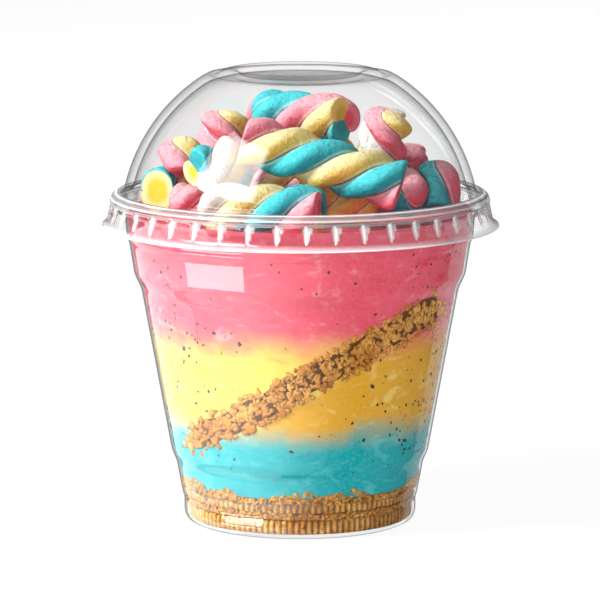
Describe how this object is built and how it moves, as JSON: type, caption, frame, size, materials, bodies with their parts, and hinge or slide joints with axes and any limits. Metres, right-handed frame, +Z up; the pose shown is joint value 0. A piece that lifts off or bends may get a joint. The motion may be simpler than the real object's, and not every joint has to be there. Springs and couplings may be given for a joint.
{
  "type": "cotton candy cup",
  "caption": "Clear cup of layered pastel cream, biscuit and crumble, heaped with twisted marshmallows under a clear domed lid.",
  "frame": {"origin": "middle of the circle that the foot ring stands on", "axes": "+Z up along the cup's axis, the side with the long front marshmallow faces -Y"},
  "size_m": [0.1048, 0.105, 0.12],
  "materials": {
    "clear_plastic": "clear, polished",
    "biscuit": "baked golden brown biscuit",
    "crumbs": "pale golden biscuit crumbs",
    "crumble": "rough golden crumble",
    "blue_cream": "smooth turquoise cream",
    "yellow_cream": "smooth pale yellow cream",
    "pink_cream": "smooth pink cream",
    "marshmallow": "powdery twisted strands in pink, yellow, turquoise and white"
  },
  "bodies": {
    "root": {"biscuit_high": "biscuit", "biscuit_low": "biscuit", "blue_cream": "blue_cream", "crumb_layer": "crumbs", "crumb_seam": "crumbs", "crumble_band": "crumble", "cup": "clear_plastic", "lid": "clear_plastic", "marshmallow_back_high": "marshmallow", "marshmallow_back_left": "marshmallow", "marshmallow_back_right": "marshmallow", "marshmallow_front_long": "marshmallow", "marshmallow_front_low": "marshmallow", "marshmallow_left_end": "marshmallow", "marshmallow_left_front": "marshmallow", "marshmallow_left_high": "marshmallow", "marshmallow_left_low": "marshmallow", "marshmallow_left_middle": "marshmallow", "marshmallow_middle": "marshmallow", "marshmallow_middle_high": "marshmallow", "marshmallow_middle_low": "marshmallow", "marshmallow_right_back": "marshmallow", "marshmallow_right_edge": "marshmallow", "marshmallow_right_high": "marshmallow", "marshmallow_right_low": "marshmallow", "marshmallow_top": "marshmallow", "marshmallow_top_back": "marshmallow", "pink_cream": "pink_cream", "yellow_cream_left": "yellow_cream", "yellow_cream_right": "yellow_cream"}
  },
  "joints": []
}
